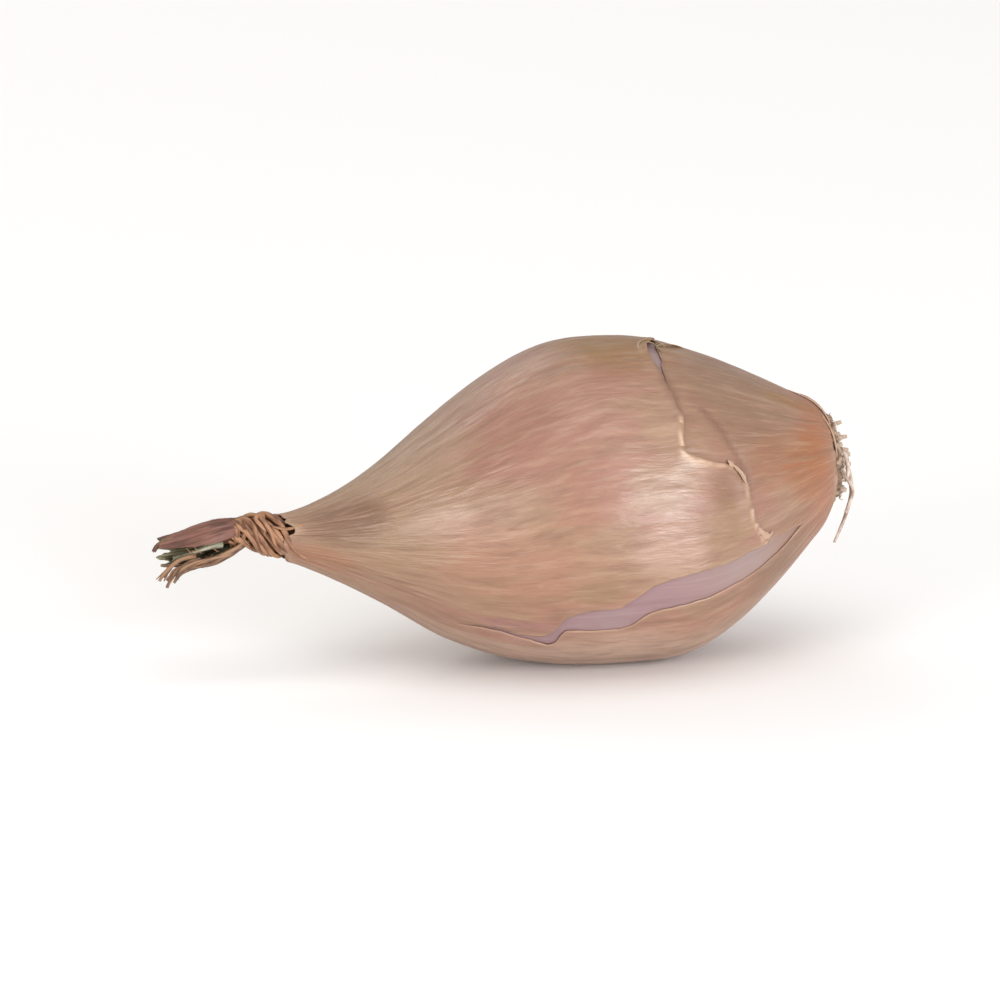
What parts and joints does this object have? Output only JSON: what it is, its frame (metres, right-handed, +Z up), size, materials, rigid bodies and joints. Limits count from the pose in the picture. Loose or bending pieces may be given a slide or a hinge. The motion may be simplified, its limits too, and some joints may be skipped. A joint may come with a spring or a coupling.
{
  "type": "shallot",
  "caption": "Whole shallot lying on its side: a fleshy bulb in a dry, papery skin that is split open, with a twisted withered neck and a plate of dry roots.",
  "frame": {"origin": "middle of the small flat spot on the underside that the shallot rests on", "axes": "+Z up, with the shallot lying on its side; +X along the bulb towards the root end, so the neck points to -X; the split in the skin faces -Y"},
  "size_m": [0.0803, 0.0355, 0.036],
  "materials": {
    "inner_skin": "firm fleshy bulb under a thin, satin, pink-purple inner skin",
    "papery_skin": "thin dry papery skin, tan-pink to copper, satin sheen with fine lengthwise veins",
    "dry_neck": "withered, fibrous leaf ends, matt straw brown",
    "root_plate": "dry, rough, matt pale tan roots and plate"
  },
  "bodies": {
    "root": {"bulb": "inner_skin", "papery_skin": "papery_skin", "dry_neck": "dry_neck", "root_plate": "root_plate"}
  },
  "joints": []
}
